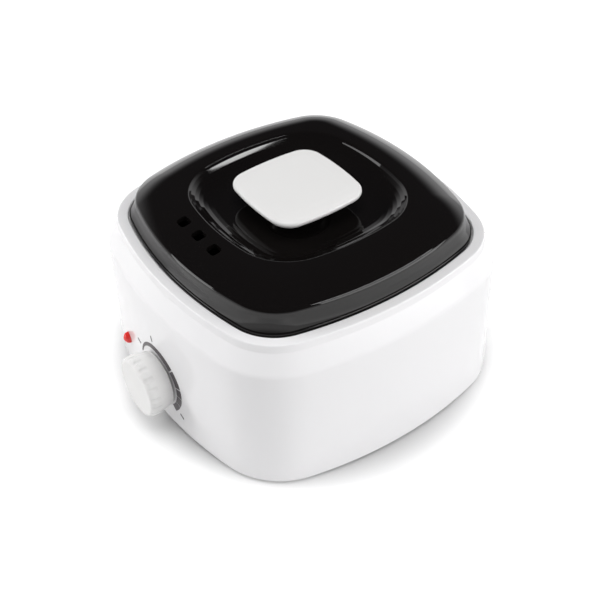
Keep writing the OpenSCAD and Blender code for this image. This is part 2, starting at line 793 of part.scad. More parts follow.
module fuse_clip() {
    color(STEEL) translate([0, probe_y, well_bottom_z]) saddle(fuse_r);
}

block_w = 30;
block_d = 14;
block_h = 11;
block_x = -44;
block_y = 40;
way_pitch = 10;
module terminal_ways() {
    for (i = [0:2]) translate([block_x + block_w / 2 + (i - 1) * way_pitch, block_y + block_d / 2, 0]) children();
}

module terminal_block() {
    color("#eceae0") difference() {
        block(block_x, block_y, base_top_z, block_w, block_d, block_h);
        terminal_ways() {
            translate([0, 0, base_top_z + block_h - 4]) cylinder(r = 1.8 + touch, h = 5);
            translate([0, block_d / 2 + 1, base_top_z + 4]) rotate([90, 0, 0]) cylinder(r = 1.5, h = block_d + 2);
        }
    }
}

module terminal_screws() {
    color("#c9a24a") terminal_ways() translate([0, 0, base_top_z + block_h - 4]) cylinder(r = 1.8, h = 3.4);
}

wire_r = 0.9;
wire_end_y = pad_y + thermostat_d + 0.3;
// Point below the bulged front where x is measured straight across, at a height
function behind_front(x, depth, z) = [
    x * (1 - depth / side_r), side_off(casing) - (side_r - depth) * sqrt(1 - pow(x / side_r, 2)), z
];
way_y = block_y + 3;
way_z = base_top_z + 4;
function way_x(i) = block_x + block_w / 2 + (i - 1) * way_pitch;
module lead(route) {
    wire(route, wire_r);
}

module live_wire() {
    tag_z = dial_z - 11;
    color("#7a4a2a") lead([
        [way_x(0), way_y, way_z], [way_x(0), block_y - 6, way_z], [way_x(0) - 2, 10, 7 + foot_h],
        [way_x(0) + 2, wire_end_y + 43.2, 7 + foot_h], [-26, wire_end_y + 17.2, tag_z - 3],
        [-10, wire_end_y + 7.2, tag_z], [-8, wire_end_y + 2, tag_z], [-8, wire_end_y, tag_z]
    ]);
}

module heater_wire() {
    tag_z = dial_z - 11;
    plate_edge = bottom_heater_r - 12;
    color("#c8c8c0") lead([
        [8, wire_end_y + 0.3, tag_z], [8, wire_end_y + 3, tag_z], [16, wire_end_y + 17.2, tag_z - 2],
        [24, wire_end_y + 31.2, tag_z - 3],
        [plate_edge * 0.6, -plate_edge * 0.8, heater_plate_z - 5], [plate_edge * 0.6, -plate_edge * 0.7, heater_plate_z - 2.5],
        [plate_edge * 0.6, -plate_edge * 0.7, heater_plate_z - 0.1]
    ]);
}

module fuse_wire() {
    end_x = fuse_len / 2;
    z = well_bottom_z - fuse_r;
    color("#2f5fa8") lead([
        [way_x(2), way_y, way_z], [way_x(2), block_y - 5, way_z + 1], [way_x(2) + 8, block_y - 8, way_z + 3],
        [-6, block_y - 4, way_z + 4], [end_x + 5, block_y + 1, z - 5], [end_x + 9, probe_y - 5, z - 3],
        [end_x + 7, probe_y - 1, z], [end_x, probe_y, z]
    ]);
}

module earth_wire() {
    color("#5a8a3a") lead([
        [way_x(1), way_y, way_z], [way_x(1), block_y - 6, way_z + 1], [way_x(1) + 6, 18, way_z + 2],
        [-12, 8, nut_z + nut_h / 2 - 2], [-6.5, 4, nut_z + nut_h / 2], [-4.4, 2.5, nut_z + nut_h / 2]
    ]);
}

module lamp_wires() {
    lamp_z = dial_z + lamp_up;
    lamp_back = stem_l + 3.1;
    color("#a83a3a") for (s = [-1, 1]) lead([
        behind_front(-lamp_x, lamp_back, lamp_z + 1.1 * s), behind_front(-lamp_x, lamp_back + 4, lamp_z - 1 + 1.5 * s),
        behind_front(-lamp_x + 6, lamp_back + 8, lamp_z - 5 + 2.5 * s),
        [-22, wire_end_y + 8.2, dial_z - 7 + 3 * s], [-15, wire_end_y + 7.2, dial_z - 6 + 3 * s],
        [-10.5, wire_end_y + 3, dial_z - 5 + 3 * s],
        [-10, wire_end_y, dial_z - 5 + 3 * s]
    ]);
}

module sensor_tube() {
    color("#b8733a") wire([
        [bulb_len / 2 + 0.1, -probe_y, well_bottom_z - bulb_r], [bulb_len / 2 + 4, -probe_y, well_bottom_z - bulb_r],
        [bulb_len / 2 + 7, -probe_y - 5, well_bottom_z - bulb_r - 3], [bulb_len / 2 + 4, -probe_y - 11, dial_z - 7],
        [14, wire_end_y + 4.2, dial_z - 5], [12, wire_end_y + 3, dial_z - 3], [12, wire_end_y, dial_z - 3]
    ], 0.8);
}

// ---- Lift-out pot and its bail

module inner_pot() {
    pot_in = pot_r - pot_t;
    color(ALUMINIUM) rotate_extrude() polygon(concat(
        [[0, pot_bottom_z], [pot_r - 6, pot_bottom_z]],
        arc(pot_r - 6, pot_bottom_z + 6, 6, -75, 0, 5),
        [[pot_r, pot_flange_z], [pot_flange_r, pot_flange_z], [pot_flange_r, pot_rim_z], [pot_in + 1, pot_rim_z],
            [pot_in, pot_rim_z - 1]],
        arc(pot_in - 5, pot_bottom_z + pot_t + 5, 5, 0, -90, 5),
        [[0, pot_bottom_z + pot_t]]
    ));
}

module at_ears() {
    for (side = [0, 180]) rotate(side) children();
}

// Angle pieces riveted to the pot's flange, each with a hole for the bail
module pot_ears() {
    color(STEEL) at_ears() difference() {
        union() {
            block(ear_x, -ear_w / 2, pot_rim_z, ear_foot - 0.2, ear_w, ear_t);
            block(ear_x, -ear_w / 2 + 3, pot_rim_z, ear_t, ear_w - 6, ear_top_z - pot_rim_z - 1.5);
            block(ear_x, -ear_w / 2 + 4.5, pot_rim_z, ear_t, ear_w - 9, ear_top_z - pot_rim_z);
        }
        translate([ear_x - 1, 0, pivot_z]) rotate([0, 90, 0]) cylinder(r = bail_pin_r + running, h = ear_t + 2);
        at_rivets() translate([0, 0, pot_rim_z - 1]) cylinder(r = rivet_r + touch, h = ear_t + 2);
    }
}

module at_rivets() {
    for (y = [-1, 1]) translate([ear_x + ear_foot / 2 + 0.6, y * (rivet_y + 1), 0]) children();
}

module ear_rivets() {
    head = rivet_r + 0.7;
    color(ALUMINIUM) at_ears() at_rivets() translate([0, 0, pot_rim_z + ear_t]) rotate_extrude()
        polygon([[0, -ear_t], [rivet_r, -ear_t], [rivet_r, 0], [head, 0], [head - 0.4, 0.6], [0, 0.8]]);
}

module bail_handle() {
    pin_end = ear_x + ear_t + 0.4;
    color(STEEL) translate([0, 0, pivot_z]) {
        rotate_extrude(angle = 180) translate([bail_r, 0]) circle(r = bail_wire_r, $fn = 32);
        for (side = [-1, 1]) {
            translate([side * bail_r, 0, 0]) sphere(r = elbow_r, $fn = 32);
            translate([side * bail_r, 0, 0]) rotate([0, side * 90, 0]) cylinder(r = bail_pin_r, h = pin_end - bail_r + eps);
            translate([side * pin_end, 0, 0]) rotate([0, side * 90, 0]) cylinder(r = head_r, h = head_t);
        }
    }
}

module bail_grip() {
    color(RUBBER) translate([0, 0, pivot_z]) rotate(90 - grip_angle / 2) rotate_extrude(angle = grip_angle)
        translate([bail_r, 0]) difference() {
            circle(r = grip_r, $fn = 48);
            circle(r = bail_wire_r + touch, $fn = 32);
        }
}

// ---- Lid

// Everything above the dish's surface, moved out by a wall's thickness when t is not 0
module dish_space(t) {
    x = -t / 2;
    z = crown_z - t;
    filled(dish, [
        [x + 13.5, z - dish_d], [x + 11, z - 0.965 * dish_d], [x + 8.8, z - 0.89 * dish_d], [x + 6.8, z - 0.76 * dish_d],
        [x + 2, z - 0.22 * dish_d], [x + 1.1, z - 0.1 * dish_d], [x + 0.2, z - 0.03 * dish_d], [x - 0.6, z],
        [x - 0.6, crown_z + 1]
    ]);
}

module vent_slots() {
    corner = 1.8;
    for (i = [0:vent_count - 1]) translate([(i - (vent_count - 1) / 2) * vent_pitch, -vent_y, crown_z - 8])
        linear_extrude(height = 10) {
            square([vent_w - 2 * corner, vent_l], center = true);
            square([vent_w, vent_l - 2 * corner], center = true);
            for (x = [-1, 1], y = [-1, 1]) translate([x * (vent_w / 2 - corner), y * (vent_l / 2 - corner)])
                circle(r = corner);
        }
}

// Points of the lid's side and crown, each as [inset, height], moved in by the wall where t isn't 0
function lid_edge(t) = let (
        foot = t > 0 ? seat_z - 1 : seat_z + flange_h - 0.4,
        side_z = crease_z - crest_r,
        r = crest_r - 0.6 * t,
        start = [t + r * (1 - cos(56)), side_z - 0.4 * t + r * sin(56)],
        rise = crown_z - t - start[1]
    ) concat(
        [[t - 1.4, foot], [t - 1.4, seat_z + flange_h], [t - 1.1, seat_z + flange_h + 1.4], [t - 0.7, side_z - 2.5],
            [t, side_z - 0.4 * t]],
        [for (a = [14:14:42]) [t + r * (1 - cos(a)), side_z - 0.4 * t + r * sin(a)]],
        [start],
        [for (i = [1:6]) [start[0] + i * crown_w / 7, start[1] + rise * (1 - pow(1 - i / 7, 2))]],
        [[start[0] + crown_w, crown_z - t]]
    );

module lid_shell() {
    flange_z = seat_z + flange_h;
    flange = [[lid_in + 0.5, seat_z], [lid_in, seat_z + 0.5], [lid_in, flange_z - 0.6], [lid_in + 0.6, flange_z]];
    color(SMOKED) difference() {
        union() {
            filled(casing, flange);
            filled(crest, lid_edge(0));
        }
        dish_space(0);
        difference() {
            filled(crest, lid_edge(lid_t));
            dish_space(lid_t);
        }
        vent_slots();
        translate([0, 0, dish_z - lid_t - 1]) cylinder(r = lid_screw_r + 0.2, h = lid_t + 2);
    }
}

module knob_plate() {
    top = plate_z + plate_t;
    edge = concat(
        [[1.8, plate_z], [0.5, plate_z + 0.2 * plate_t], [0, plate_z + 0.5 * plate_t]],
        [for (a = [15:15:75]) [4.5 * (1 - cos(a)), plate_z + 0.5 * plate_t * (1 + sin(a))]],
        [[4.5, top]]
    );
    color(WHITE) difference() {
        filled(plate, edge);
        translate([0, 0, plate_z - eps]) cylinder(r = lid_screw_r + touch, h = plate_t - 2);
    }
}

// Dark column between lid and plate, waisted for the fingertips
module knob_pedestal() {
    bore_r = lid_screw_r + touch;
    color(SMOKED) rotate_extrude() polygon([
        [bore_r, dish_z], [pedestal_r + 2, dish_z], [pedestal_r + 0.6, dish_z + 0.8], [pedestal_r, dish_z + 0.3 * pedestal_h],
        [pedestal_r, plate_z - 0.4 * pedestal_h], [pedestal_r + 1.2, plate_z - 0.8], [pedestal_r + 2.4, plate_z],
        [bore_r, plate_z]
    ]);
}

washer_t = 0.8;
module lid_washer() {
    color(STEEL) translate([0, 0, dish_z - lid_t - washer_t]) tube(5, lid_screw_r + touch, washer_t);
}

module lid_screw() {
    start = dish_z - lid_t - washer_t;
    color(STEEL) translate([0, 0, start]) screw_up(lid_screw_r, plate_z + plate_t - 2.6 - start, 3.6, 2);
}

outer_casing();
casing_deck();
base_plate();
base_screws();
rubber_feet();
cord_gland();
cord_clamp();
clamp_screws();
heating_well();
flange_gasket();
well_clips();
bottom_heater();
heater_plate();
heater_nut();
side_heater();
heater_band();
band_screw();
insulation_sleeve();
heat_shield();
shield_screws();
thermostat();
thermostat_nut();
sensor_bulb();
bulb_clips();
sensor_tube();
thermal_fuse();
fuse_clip();
terminal_block();
terminal_screws();
indicator_lens();
lens_ring();
neon_lamp();
dial_scale();
live_wire();
heater_wire();
fuse_wire();
lamp_wires();
earth_wire();
control_knob();
thermostat_shaft();
knob_spring();
inner_pot();
pot_ears();
ear_rivets();
bail_handle();
bail_grip();
lid_shell();
knob_plate();
knob_pedestal();
lid_screw();
lid_washer();
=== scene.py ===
# %% [markdown]
# A countertop wax warmer: a white square casing with bulged sides, a smoked glossy lid with a white square knob, a
# dial on the front and a red lamp. Every piece could be modelled afresh here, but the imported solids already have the
# true size and place of each one, so they are loaded and never moved. Only the pieces that the eye reads first, namely
# casing, lid, both knobs and lens, get smoother meshes, drawn from the same sizes.

# %% Load the solids
import json
import math

import bpy
import bmesh
from mathutils import Matrix, Quaternion, Vector


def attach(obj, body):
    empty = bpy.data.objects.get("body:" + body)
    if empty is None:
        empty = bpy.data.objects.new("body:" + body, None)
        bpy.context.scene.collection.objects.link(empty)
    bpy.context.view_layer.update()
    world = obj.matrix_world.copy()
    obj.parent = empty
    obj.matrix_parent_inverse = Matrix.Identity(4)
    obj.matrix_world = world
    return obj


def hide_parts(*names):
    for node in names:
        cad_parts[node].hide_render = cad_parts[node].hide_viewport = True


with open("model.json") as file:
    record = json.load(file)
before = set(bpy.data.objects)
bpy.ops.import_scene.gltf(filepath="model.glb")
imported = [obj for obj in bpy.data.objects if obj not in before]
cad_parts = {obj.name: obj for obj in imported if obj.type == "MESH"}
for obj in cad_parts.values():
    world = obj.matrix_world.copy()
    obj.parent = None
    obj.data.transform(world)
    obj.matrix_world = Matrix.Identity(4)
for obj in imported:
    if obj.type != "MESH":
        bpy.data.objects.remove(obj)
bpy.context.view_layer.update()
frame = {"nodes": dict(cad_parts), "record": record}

# %% [markdown]
# Blender works in metres and the sizes below are in millimetres, so one factor turns the first into the second. Lamps
# and camera are placed by a compass angle and a height angle, because that is how one walks round a real table.

# %% Units and directions
MM = 0.001


def toward(azimuth, elevation):
    """The direction at a compass angle (0 is the front) and a height angle, both in degrees."""
    turn, lift = math.radians(azimuth), math.radians(elevation)
    return Vector((math.sin(turn) * math.cos(lift), -math.cos(turn) * math.cos(lift), math.sin(lift)))


def put(name, data):
    """Puts an object with this mesh, lamp or camera into the scene."""
    thing = bpy.data.objects.new(name, data)
    bpy.context.scene.collection.objects.link(thing)
    return thing


print("the front looks along", [round(c, 3) for c in toward(0, 0)])

# %% [markdown]
# The camera looks down on a corner from the front right. A Track To constraint could aim it, but would hold it level.
# Its own three axes are worked out instead, so that compass angle, tilt and a slight roll can each be changed alone.
# The lens is fairly long, as for a product on a table, so the upright edges lean together only a little.

# %% Camera
camera_azimuth, camera_tilt = 55.48, 39.14
camera_roll = math.radians(-1.66)
camera_distance = 620 * MM
camera_target = Vector((0, 0, 62 * MM))
backward = toward(camera_azimuth, camera_tilt)
level_right = Vector((math.cos(math.radians(camera_azimuth)), math.sin(math.radians(camera_azimuth)), 0))
level_up = backward.cross(level_right)
right = math.cos(camera_roll) * level_right + math.sin(camera_roll) * level_up
axes = Matrix((right, backward.cross(right), backward)).transposed().to_4x4()

camera_data = bpy.data.cameras.new("camera")
camera_data.lens = 69.16
camera_data.sensor_width = 36
camera_data.shift_x = 0.0014
camera_data.shift_y = -0.0662
camera_data.clip_end = 50
camera = put("camera", camera_data)
camera.matrix_world = Matrix.Translation(camera_target + backward * camera_distance) @ axes
bpy.context.scene.camera = camera
print("camera stands at", [round(c, 3) for c in camera.matrix_world.translation])

# %% [markdown]
# Seen from above, casing, lid and knob plate share one kind of outline: four wide arcs for the bulged sides, joined by
# four tighter arcs. A rounded cube would give flat sides, and a drawn curve uneven points. Here each sample keeps its
# arc's centre, radius and outward direction. Moving a ring inward is then only a smaller radius and the spacing stays
# even, which keeps reflections smooth.

# %% Outlines
SIDE_STEPS = 30
CORNER_STEPS = 26


def outline(half_width, side_radius, corner_radius):
    """Samples of an outline as (centre, radius, outward direction), anticlockwise from the front's left end."""
    off = side_radius - half_width
    corner = (math.sqrt(2 * (side_radius - corner_radius) ** 2 - off ** 2) - off) / 2
    half_angle = math.atan(corner / (corner + off))
    front = -math.pi / 2
    samples = []
    for quarter in range(4):
        turn = math.radians(90 * quarter)
        for centre, radius, start, end, steps in (
            ((0, off), side_radius, front - half_angle, front + half_angle, SIDE_STEPS),
            ((corner, -corner), corner_radius, front + half_angle, -half_angle, CORNER_STEPS),
        ):
            middle = Vector(centre)
            middle.rotate(Matrix.Rotation(turn, 2))
            for step in range(steps):
                angle = start + (end - start) * step / steps + turn
                samples.append((middle, radius, Vector((math.cos(angle), math.sin(angle)))))
    return samples


casing_half, casing_bulge = 90, 226
casing_outline = outline(casing_half, casing_bulge, corner_radius=40)
crest_outline = outline(half_width=75, side_radius=178, corner_radius=29.5)
dish_outline = outline(half_width=50.4, side_radius=136, corner_radius=30.4)
plate_outline = outline(half_width=27.9, side_radius=146, corner_radius=11.6)
print("samples round an outline:", len(casing_outline))

# %% [markdown]
# Moulded edges are rounded by a few tenths of a millimetre up to a few millimetres. A bevel modifier has one width for
# the whole piece, while a real section has a rounding of its own at each corner. So a section is a chain of corners
# (inset, height, rounding), and each corner becomes a true arc, which gives the soft highlight of a moulded edge.

# %% Rounded sections
NEARLY_STRAIGHT = 0.02
ARC_SHARE = 0.48


def rounded(chain, steps=6):
    """Replaces each inner corner (inset, height, rounding) of a chain by an arc that touches both its edges."""
    points = [Vector(chain[0][:2])]
    for before, here, after in zip(chain, chain[1:], chain[2:]):
        p, q, r = Vector(before[:2]), Vector(here[:2]), Vector(after[:2])
        inward, outward = (p - q).normalized(), (r - q).normalized()
        bend = inward.angle(outward)
        if here[2] <= 0 or bend > math.pi - NEARLY_STRAIGHT:
            points.append(q)
            continue
        reach = min(here[2] / math.tan(bend / 2), ARC_SHARE * (p - q).length, ARC_SHARE * (r - q).length)
        radius = reach * math.tan(bend / 2)
        centre = q + (inward + outward).normalized() * (radius / math.sin(bend / 2))
        first = q + inward * reach - centre
        last = q + outward * reach - centre
        sweep = first.angle_signed(last)
        for step in range(steps + 1):
            turned = first.copy()
            turned.rotate(Matrix.Rotation(-sweep * step / steps, 2))
            points.append(centre + turned)
    points.append(Vector(chain[-1][:2]))
    return points


print("a rounded corner has", len(rounded([(0, 0, 0), (0, 10, 2), (10, 10, 0)])) - 2, "points")

# %% [markdown]
# A piece grows from rings, one above the other, each with the same number of points. Lofting by hand in this way keeps
# every face a quad and lets a square outline pass into a circle without a seam.

# %% Rings
def ring(samples, inset, height):
    """An outline moved inward by the inset and up to the height."""
    return [Vector((*(c + (r - inset) * n), height)) * MM for c, r, n in samples]


def circle_ring(samples, radius, height):
    """A circle with one point for each sample of an outline, so that it joins on to a ring of that outline."""
    flat = [(c + r * n).normalized() for c, r, n in samples]
    return [Vector((*(radius * d), height)) * MM for d in flat]


def between(ring_a, ring_b, share):
    return [a.lerp(b, share) for a, b in zip(ring_a, ring_b)]


print("points in a ring:", len(ring(plate_outline, 0, 0)))

# %% [markdown]
# The rings become one mesh. Its faces are shaded smooth, and only a bend sharper than the given angle stays an edge,
# as on a moulding whose sharpest edges are where two halves of the mould met.

# %% Skins
def skin(name, rings, closed=False, cap_first=False, cap_last=False, sharp=math.radians(50)):
    """Joins rings into one smooth mesh."""
    mesh = bpy.data.meshes.new(name)
    bm = bmesh.new()
    rows = [[bm.verts.new(p) for p in points] for points in rings]
    count = len(rings[0])
    pairs = list(zip(rows, rows[1:]))
    if closed:
        pairs.append((rows[-1], rows[0]))
    for low, high in pairs:
        for i in range(count):
            j = (i + 1) % count
            bm.faces.new((low[i], low[j], high[j], high[i]))
    if cap_first:
        bm.faces.new(list(reversed(rows[0])))
    if cap_last:
        bm.faces.new(rows[-1])
    bmesh.ops.recalc_face_normals(bm, faces=bm.faces)
    bm.to_mesh(mesh)
    bm.free()
    mesh.polygons.foreach_set("use_smooth", [True] * len(mesh.polygons))
    mesh.set_sharp_from_angle(angle=sharp)
    print(name, "has", len(mesh.polygons), "faces")
    return put(name, mesh)


print("edges stay sharp from 50 degrees on")

# %% [markdown]
# Plastic, rubber and metal share small effects. Each could be drawn again in every material, but a node group is built
# once, and a material then only gives it its own values. Two helpers come first: one makes a group with named inputs
# and outputs, and the other adds a node with its settings.

# %% Helpers for node trees
def new_group(name, inputs, outputs):
    """A node group with inputs (label, kind, value) and outputs (label, kind), and its two end nodes."""
    group = bpy.data.node_groups.new(name, "ShaderNodeTree")
    for label, kind, default in inputs:
        group.interface.new_socket(label, in_out="INPUT", socket_type=kind).default_value = default
    for label, kind in outputs:
        group.interface.new_socket(label, in_out="OUTPUT", socket_type=kind)
    return group, group.nodes.new("NodeGroupInput"), group.nodes.new("NodeGroupOutput")


def add(tree, kind, **settings):
    node = tree.nodes.new(kind)
    for key, value in settings.items():
        setattr(node, key, value)
    return node


def math_node(tree, operation, *feeds):
    """A Math node. Each feed is a number or the socket that it takes its number from."""
    node = add(tree, "ShaderNodeMath", operation=operation)
    for socket, feed in zip(node.inputs, feeds):
        if isinstance(feed, (int, float)):
            socket.default_value = feed
        else:
            tree.links.new(feed, socket)
    return node.outputs[0]


print("helpers ready, node groups so far:", len(bpy.data.node_groups))

# %% [markdown]
# Real surfaces are never quite even: gloss and colour drift a little from place to place, and there is a fine relief.
# Both effects below share that drift. It takes a pattern between 0 and 1, centres it on nothing, and lets it push the
# gloss and the brightness up and down by the amounts that the material asks for.

# %% Drift of gloss and colour
FLOAT, COLOR = "NodeSocketFloat", "NodeSocketColor"


def surface_group(name, scale_name, scale, gloss, gloss_change, color_change):
    """A group for a surface whose gloss and colour drift, still without its pattern."""
    given = [(scale_name, FLOAT, scale), ("Gloss Base", FLOAT, gloss), ("Gloss Change", FLOAT, gloss_change),
             ("Color", COLOR, (1, 1, 1, 1)), ("Color Change", FLOAT, color_change)]
    return new_group(name, given, [("Color", COLOR), ("Roughness", FLOAT), ("Height", FLOAT)])


def finish_surface(group, given, out, pattern, relief):
    """Lets a pattern push gloss and brightness, and puts out the relief as a height."""
    centred = math_node(group, "SUBTRACT", pattern, 0.5)
    gloss = math_node(group, "MULTIPLY_ADD", centred, given.outputs["Gloss Change"], given.outputs["Gloss Base"])
    brightness = math_node(group, "MULTIPLY_ADD", centred, given.outputs["Color Change"], 1.0)
    tint = add(group, "ShaderNodeHueSaturation")
    group.links.new(given.outputs["Color"], tint.inputs["Color"])
    group.links.new(brightness, tint.inputs["Value"])
    group.links.new(tint.outputs["Color"], out.inputs["Color"])
    group.links.new(gloss, out.inputs["Roughness"])
    group.links.new(relief, out.inputs["Height"])
    return group


print("a surface puts out colour, roughness and height")

# %% [markdown]
# Moulded plastic has a fine orange-peel waviness and wide soft patches of more and less gloss. A noise in the piece's
# own coordinates gives both, needs no unwrapping, and runs over every face without a seam.

# %% Moulded plastic
PATCH_SCALE = 14.0


def make_moulded():
    """Fine waviness and a slight change of gloss, as a mould leaves them."""
    group, given, out = surface_group("moulded_surface", "Wave Scale", 260.0, 0.2, 0.04, 0.02)
    place = add(group, "ShaderNodeTexCoord")
    wave = add(group, "ShaderNodeTexNoise")
    wave.inputs["Detail"].default_value = 2.0
    patch = add(group, "ShaderNodeTexNoise")
    patch.inputs["Scale"].default_value = PATCH_SCALE
    group.links.new(place.outputs["Object"], wave.inputs["Vector"])
    group.links.new(place.outputs["Object"], patch.inputs["Vector"])
    group.links.new(given.outputs["Wave Scale"], wave.inputs["Scale"])
    return finish_surface(group, given, out, patch.outputs["Fac"], wave.outputs["Fac"])


moulded = make_moulded()
print("effect:", moulded.name)

# %% [markdown]
# Spun and drawn metal has fine lines that run round the piece. A noise that knows only the distance from the upright
# axis and the height is the same all the way round, so it draws just such lines, on walls and floors alike.

# %% Drawn metal
def make_drawn():
    """Fine lines round the upright axis, as a spinning or drawing tool leaves them."""
    group, given, out = surface_group("drawn_metal", "Line Scale", 900.0, 0.3, 0.15, 0.08)
    place = add(group, "ShaderNodeTexCoord")
    split = add(group, "ShaderNodeSeparateXYZ")
    group.links.new(place.outputs["Object"], split.inputs[0])
    squares = [math_node(group, "MULTIPLY", split.outputs[axis], split.outputs[axis]) for axis in "XY"]
    distance = math_node(group, "SQRT", math_node(group, "ADD", *squares))
    join = add(group, "ShaderNodeCombineXYZ")
    group.links.new(distance, join.inputs["X"])
    group.links.new(split.outputs["Z"], join.inputs["Y"])
    lines = add(group, "ShaderNodeTexNoise", noise_dimensions="3D")
    lines.inputs["Detail"].default_value = 3.0
    group.links.new(join.outputs[0], lines.inputs["Vector"])
    group.links.new(given.outputs["Line Scale"], lines.inputs["Scale"])
    return finish_surface(group, given, out, lines.outputs["Fac"], lines.outputs["Fac"])


drawn = make_drawn()
print("effect:", drawn.name)

# %% [markdown]
# A finish is an effect with its own colour and gloss, on a Principled shader. Values that are the same all over, such
# as how metallic it is, go straight on the shader's own sockets.

# %% A finish from an effect
RELIEF_DEPTH = 0.1 * MM
finishes = {}


def finish(name, group, colour, gloss, bump=0.02, effect=(), **settings):
    """Makes a material from a shared effect and keeps it under its name."""
    made = bpy.data.materials.new(name)
    made.use_nodes = True
    tree = made.node_tree
    shader = tree.nodes["Principled BSDF"]
    surface = add(tree, "ShaderNodeGroup", node_tree=group)
    for label, value in {"Color": (*colour, 1), "Gloss Base": gloss, **dict(effect)}.items():
        surface.inputs[label].default_value = value
    relief = add(tree, "ShaderNodeBump")
    relief.inputs["Strength"].default_value = bump
    relief.inputs["Distance"].default_value = RELIEF_DEPTH
    tree.links.new(surface.outputs["Color"], shader.inputs["Base Color"])
    tree.links.new(surface.outputs["Roughness"], shader.inputs["Roughness"])
    tree.links.new(surface.outputs["Height"], relief.inputs["Height"])
    tree.links.new(relief.outputs["Normal"], shader.inputs["Normal"])
    for label, value in settings.items():
        shader.inputs[label.replace("_", " ")].default_value = value
    finishes[name] = made


print("relief depth:", RELIEF_DEPTH, "m")

# %% [markdown]
# Outside, the casing is glossy white plastic with a touch of blue, and the knobs are a warmer white. The smoked lid
# could be real tinted glass, but it is nearly black in use, so a tinted gloss over a very dark brown looks the same
# and hides what it should hide. Rubber gets a stronger relief than plastic, because it is moulded in a rougher tool.

# %% Finishes seen from outside
finish("casing_white", moulded, (0.86, 0.855, 0.862), 0.16, effect={"Gloss Change": 0.05}, IOR=1.5)
finish("knob_white", moulded, (0.79, 0.785, 0.775), 0.22, effect={"Gloss Change": 0.05})
finish("lid_smoked", moulded, (0.005, 0.0042, 0.004), 0.04, bump=0.006,
       effect={"Gloss Change": 0.02, "Wave Scale": 120.0}, IOR=1.5)
finish("pedestal_dark", moulded, (0.006, 0.005, 0.005), 0.15)
finish("dial_print", moulded, (0.075, 0.065, 0.07), 0.4, effect={"Wave Scale": 900.0})
finish("lens_red", moulded, (0.80, 0.035, 0.03), 0.12)
finish("foot_rubber", moulded, (0.02, 0.02, 0.022), 0.6, bump=0.2, effect={"Wave Scale": 1500.0})
print("finishes:", len(finishes))

# %% [markdown]
# Inside are a drawn aluminium well and pot, a steel bail, plated fixings, a copper sensor tube, brass terminals, mica
# round the heaters and felt round them. The softer and rougher the stuff, the finer its noise and the higher its bump.

# %% Finishes of the inside
finish("well_aluminium", drawn, (0.74, 0.75, 0.76), 0.34, bump=0.12, Metallic=1.0)
finish("pot_aluminium", drawn, (0.66, 0.67, 0.68), 0.26, bump=0.1, Metallic=1.0)
finish("bail_steel", drawn, (0.72, 0.72, 0.73), 0.16, bump=0.03, effect={"Gloss Change": 0.06}, Metallic=1.0)
finish("fixings", drawn, (0.6, 0.61, 0.62), 0.3, bump=0.1, Metallic=1.0)
finish("sensor_copper", drawn, (0.72, 0.36, 0.2), 0.3, bump=0.05, Metallic=1.0)
finish("terminal_brass", drawn, (0.75, 0.55, 0.25), 0.3, bump=0.05, Metallic=1.0)
finish("silicone_red", moulded, (0.42, 0.06, 0.02), 0.5)
finish("inner_plastic", moulded, (0.62, 0.61, 0.57), 0.4)
finish("inner_plastic_dark", moulded, (0.03, 0.03, 0.033), 0.4)
finish("grip_black", moulded, (0.018, 0.018, 0.018), 0.5, bump=0.25, effect={"Wave Scale": 1200.0})
finish("insulation_felt", moulded, (0.55, 0.5, 0.4), 0.9, bump=0.8, effect={"Wave Scale": 2200.0, "Color Change": 0.3})
finish("heater_mica", moulded, (0.24, 0.15, 0.07), 0.5, bump=0.3, effect={"Wave Scale": 700.0, "Color Change": 0.4})
finish("fuse_ceramic", moulded, (0.7, 0.64, 0.5), 0.3)
finish("lamp_glass", moulded, (1.0, 0.75, 0.6), 0.05, Transmission_Weight=0.9)
for name, colour in {"wire_brown": (0.12, 0.045, 0.02), "wire_white": (0.55, 0.55, 0.5), "wire_blue": (0.03, 0.1, 0.35),
                     "wire_red": (0.4, 0.03, 0.03), "wire_green": (0.08, 0.3, 0.05)}.items():
    finish(name, moulded, colour, 0.4)
finishes["inner_steel"] = finishes["fixings"]
print("finishes with the inside:", len(finishes))

# %% [markdown]
# Each solid is made of one stuff, and the record names it as the solid's slot. A table by hand from piece to finish
# would go stale, so the slot itself picks the finish.

# %% Solids take their finishes
slot_of_node = {part["node"]: part["material_slot"] for part in frame["record"]["subparts"]}
for node, solid in frame["nodes"].items():
    solid.data.materials.clear()
    solid.data.materials.append(finishes[slot_of_node[node]])
print("finished", len(frame["nodes"]), "solids")

# %% [markdown]
# The casing is one moulding, with a flat deck welded inside its rim. Its section goes up the wall, leans in at the
# shoulder, rises in a narrow band and turns over the rim. It could be a surface with a Solidify modifier, but inner and
# outer face differ under the shoulder. A closed loop of rings draws both, so it still looks right when lid and pot are
# lifted out. The deck is a solid of its own, and its shape is right as it is.

# %% Casing
foot_height, shoulder_low, shoulder_high = 2.0, 75, 85
seat_height, deck_height, rim_height = 87.5, 85.0, 89.5
rim_inset, wall = 12.2, 2.5
outer_section = rounded([(1.2, foot_height, 0), (0, foot_height, 0.7), (0, shoulder_low, 6), (6.0, shoulder_high, 1.6),
                         (6.35, rim_height, 0.75), (rim_inset, rim_height, 0.7), (rim_inset, deck_height, 0)], steps=8)
inner_section = rounded([(9.9, deck_height, 0), (8.25, shoulder_high - wall, 1), (wall, 73, 3), (wall, foot_height, 0)],
                        steps=4)
casing_rings = [ring(casing_outline, p.x, p.y) for p in outer_section + inner_section]
casing_shell = skin("casing_shell", casing_rings, closed=True)
casing_shell.data.materials.append(finishes["casing_white"])
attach(casing_shell, "housing")
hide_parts("outer_casing")

# %% [markdown]
# The lid is a thin smoked shell that rests inside the casing's rim. Its foot flange follows the casing, while its upper
# edge is rounder at the corners. A single outline scaled inward would miss that, so the skirt between them is a blend
# of two outlines, slightly flared where it leaves the flange.

